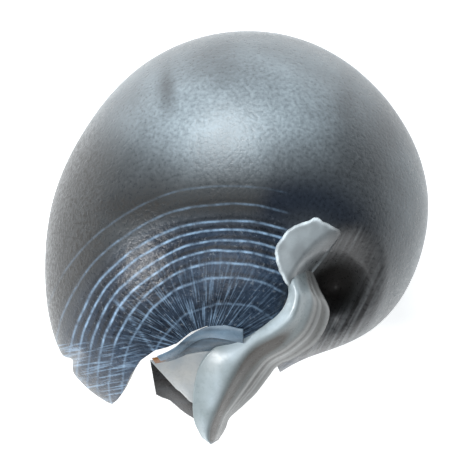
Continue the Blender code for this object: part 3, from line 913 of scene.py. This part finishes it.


# Worn colours with a painted highlight: an oval pale patch, worn paler and over the top also a painted
# highlight, with two dark bands and two pale spots, brown on the left and in a belt, and both plainer on the
# hidden side
def wearAndSheenMasks(x, y, near, front):
    marks = bodyMarks
    squash, grain = marks["clouds"]
    clouds = ripple(x, y * squash, near, grain, 41)
    (middleX, middleY), (sizeX, sizeY) = marks["wearAndSheenMiddle"], marks["wearAndSheenSize"]
    most, drop, reach = marks["wearAndSheenFade"]
    # The oval patch over the top: paler wear and a painted highlight
    pale = most - drop * smooth(np.hypot((x - middleX) / sizeX, (y - middleY) / sizeY) / reach)
    pale = pale * (1.0 + marks["cloudShare"] * clouds)
    for share, drift, across, down in marks["darkBands"]:
        pale = pale * (1.0 - share * spot(x - drift * clouds, y, across, down))
    share, left, top = marks["rightPale"]
    pale = pale + share * climb(x, *left) * climb(y, *top) * front
    share, left, top, right = marks["lowPale"]
    pale = pale + share * climb(x, *left) * climb(y, *top) * fall(x, *right)
    plain, cloudy = marks["hiddenPale"]
    pale = pale * front + (1.0 - front) * (plain + cloudy * clouds)
    share, height, drift, width = marks["belt"]
    belt = share * bell(y - height - drift * clouds, width) * fall(x, *marks["beltRight"])
    brown = np.maximum(fall(x, *marks["brownLeft"]) * climb(y, *marks["brownTop"]), belt)
    brown = brown * (marks["hiddenBrown"] + (1.0 - marks["hiddenBrown"]) * front)
    return {"pale": np.clip(pale, 0, 1), "brown": np.clip(brown, 0, 1)}


# Where lines are drawn: spiral and growth lines, ridges on the tongue, one scratch and the dashes
def drawnMasks(x, y, near, front):
    marks = bodyMarks
    facing = climb(near, *marks["facing"])
    _, _, _, zone = surfaceLines(x, y, near)
    zone = zone * (1.0 - climb(x, *marks["zoneRight"])) * climb(y, *marks["zoneTop"])
    tongue = fall(x, *marks["tongueSide"]) * climb(y, *marks["tongueTop"]) * facing
    lined = (1.0 - climb(x, *marks["linesRight"])) * facing * (1.0 - marks["tongueLines"] * tongue)
    startX, startY, steepness, width = marks["scratch"]
    scratch = bell(y - startY - steepness * (x - startX), width) * climb(x, *marks["scratchLeft"])
    scratch = marks["scratchShare"] * scratch * fall(x, *marks["scratchRight"]) * front
    dash = spot(x, y, *marks["dash"]) * front
    return {"lined": lined, "growth": zone * (1.0 - tongue) * zone, "zone": zone, "scratch": scratch,
            "ridged": marks["ridgeShare"] * tongue, "dash": dash}


def makeBody():
    points, faces, inside, seam = bodySurface()
    x, y, near = pictured(points)
    front = climb(near, *bodyMarks["front"])
    masks = {}
    for family in (drawnMasks, hollowMasks, wearAndSheenMasks):
        masks.update(family(x, y, near, front))
    masks["brown"] = masks["brown"] * (1.0 - masks["zone"])
    masks = {label: values * (1.0 - inside) for label, values in masks.items()}
    masks["inside"] = inside
    masks["seam"] = bodyMarks["seamShare"] * seam ** 3 * (1.0 - front)
    piece = makePiece("shell_body", points, faces, masks)
    piece.data.materials.append(bodyMaterial())


# Along the section from the outer edge and along the lip from its top, 0 to 1
lipMarks = {"olive": (0.57, 0.15), "oliveShare": 1.6, "oliveFrom": (0.24, 0.18), "wallFrom": (0.68, 0.10),
            "streaks": (120.0, 5.0, 17.0, 2.0), "streakShare": 0.6, "litSection": (0.22, 0.2),
            "litAlong": (0.15, 0.15), "litShare": 0.4}


def makeLip():
    marks = lipMarks
    points, faces, section, along, facing = lipSurface()
    groove = bell(section - marks["olive"][0], marks["olive"][1]) * climb(along, *marks["oliveFrom"])
    olive = np.clip(marks["oliveShare"] * groove, 0, 1) * facing
    wallPart = climb(section, *marks["wallFrom"])
    rate, bend, bendRate, drift = marks["streaks"]
    streak = 0.5 + 0.5 * np.sin(section * rate + bend * np.sin(section * bendRate + along * drift))
    lit = bell(section - marks["litSection"][0], marks["litSection"][1])
    lit = lit + marks["litShare"] * bell(along - marks["litAlong"][0], marks["litAlong"][1])
    masks = {"olive": olive, "wallPart": wallPart, "streak": streak * marks["streakShare"] * wallPart,
             "lit": np.clip(lit, 0, 1)}
    piece = makePiece("inner_lip", points, faces, masks)
    piece.data.materials.append(lipMaterial())


def makeLayers():
    colours = {"ledgeOuter": (layerFinish["blue"], layerFinish["dark"]),
               "ledgeInner": (layerFinish["streak"], layerFinish["blue"]),
               "innerWall": (layerFinish["white"], layerFinish["blue"]),
               # The deep wall's near-black colour is painted shade in the broken hole
               "holeShadeWall": (layerFinish["deepShade"], layerFinish["streak"])}
    for name, layer in brokenLayers.items():
        points, faces = layerSurface(layer)
        x, y, near = pictured(points)
        streak = np.clip(ripple(x * 0.35, y * 3.2, near, 6.0, 51), 0, 1) * layer["streak"]
        rust = fall(x, 170.0, 12.0) * fall(y, 364.0, 4.0) * (name == "ledgeInner")
        piece = makePiece(name, points, faces, {"streak": streak, "rust": rust})
        piece.data.materials.append(layerMaterial(name, *colours[name]))


def makeLobe():
    points, faces, edge = lobeSurface()
    x, y, _ = pictured(points)
    left = fall(x + 0.25 * (y - 225.0), 338.0, 22.0)
    # Painted highlight: a bright line along the lobe's rim, only on the side facing the light
    rim = bell(edge - 0.045, 0.070) * left * np.clip(0.75 + 0.6 * ripple(x, y, 0.0, 3.0, 71), 0, 1)
    # Painted shade: the lobe darkens towards the hollow, where shade falls
    lobeShade = climb(x + 0.9 * (y - 240.0), 306.0, 34.0) * 0.85
    piece = makePiece("callus_lobe", points, faces, {"rim": rim, "lobeShade": lobeShade})
    piece.data.materials.append(lobeMaterial())


makeBody()
makeLip()
makeLayers()
makeLobe()


print("stage: floor, light and camera")
studio = {
    "floorColour": (0.94, 0.95, 0.955), "floorSide": 3.0, "floorGlow": 0.62, "floorRoughness": 0.9,
    "worldColour": (0.93, 0.97, 1.0), "worldStrength": 0.15, "cameraAway": 1.5, "sensor": 36.0,
    "nearest": 0.01, "lookAt": (225.0, 225.0), "lookDepth": 0.0, "frameUnits": 450.0,
    "lightAim": (0.0, 0.0, 0.03),
}
lights = {
    "softbox": {"place": (-0.08, 0.48, 0.42), "size": 0.34, "power": 3.6, "colour": (0.95, 0.98, 1.0)},
    "sideFill": {"place": (-0.50, -0.18, 0.36), "size": 0.12, "power": 2.1, "colour": (1.0, 1.0, 1.0)},
    "frontFill": {"place": (-0.05, -0.30, 0.62), "size": 0.36, "power": 1.3, "colour": (0.96, 0.98, 1.0)},
}



def makeFloor():
    half = studio["floorSide"] / 2.0
    mesh = bpy.data.meshes.new("floor")
    corners = [(-half, -half, 0.0), (half, -half, 0.0), (half, half, 0.0), (-half, half, 0.0)]
    mesh.from_pydata(corners, [], [(0, 1, 2, 3)])
    floor = bpy.data.objects.new("floor", mesh)
    bpy.context.scene.collection.objects.link(floor)
    material = bpy.data.materials.new("pale_floor")
    material.use_nodes = True
    shader = material.node_tree.nodes["Principled BSDF"]
    colour = (*studio["floorColour"], 1.0)
    preset(shader, {"Base Color": colour, "Roughness": studio["floorRoughness"],
                    "Emission Color": colour, "Emission Strength": studio["floorGlow"]})
    mesh.materials.append(material)


def makeLight(name, lamp):
    light = bpy.data.lights.new(name, "AREA")
    light.shape = "DISK"
    light.size = lamp["size"]
    light.energy = lamp["power"]
    light.color = lamp["colour"]
    item = bpy.data.objects.new(name, light)
    item.location = lamp["place"]
    bpy.context.scene.collection.objects.link(item)
    away = np.array(studio["lightAim"]) - np.array(lamp["place"])
    item.rotation_euler = Vector(away.tolist()).to_track_quat("-Z", "Y").to_euler()



def makeCamera():
    camera = bpy.data.cameras.new("camera")
    camera.sensor_width = studio["sensor"]
    camera.sensor_height = studio["sensor"]
    away = studio["cameraAway"]
    camera.lens = studio["sensor"] * away / (studio["frameUnits"] * layout["unit"])
    camera.clip_start = studio["nearest"]
    item = bpy.data.objects.new("camera", camera)
    bpy.context.scene.collection.objects.link(item)
    target = standing(at(*studio["lookAt"], studio["lookDepth"]))
    tilt = layout["viewTilt"]
    near = np.array([0.0, -math.sin(tilt), math.cos(tilt)])
    item.location = (target + near * away).tolist()
    item.rotation_euler = (tilt, 0.0, 0.0)
    bpy.context.scene.camera = item


makeFloor()
makeCamera()
world = bpy.data.worlds.new("studio")
world.use_nodes = True
preset(world.node_tree.nodes["Background"], {"Color": (*studio["worldColour"], 1.0),
                                             "Strength": studio["worldStrength"]})
bpy.context.scene.world = world
bpy.context.scene.view_settings.view_transform = "Standard"
for name, lamp in lights.items():
    makeLight(name, lamp)

print("stage: done")
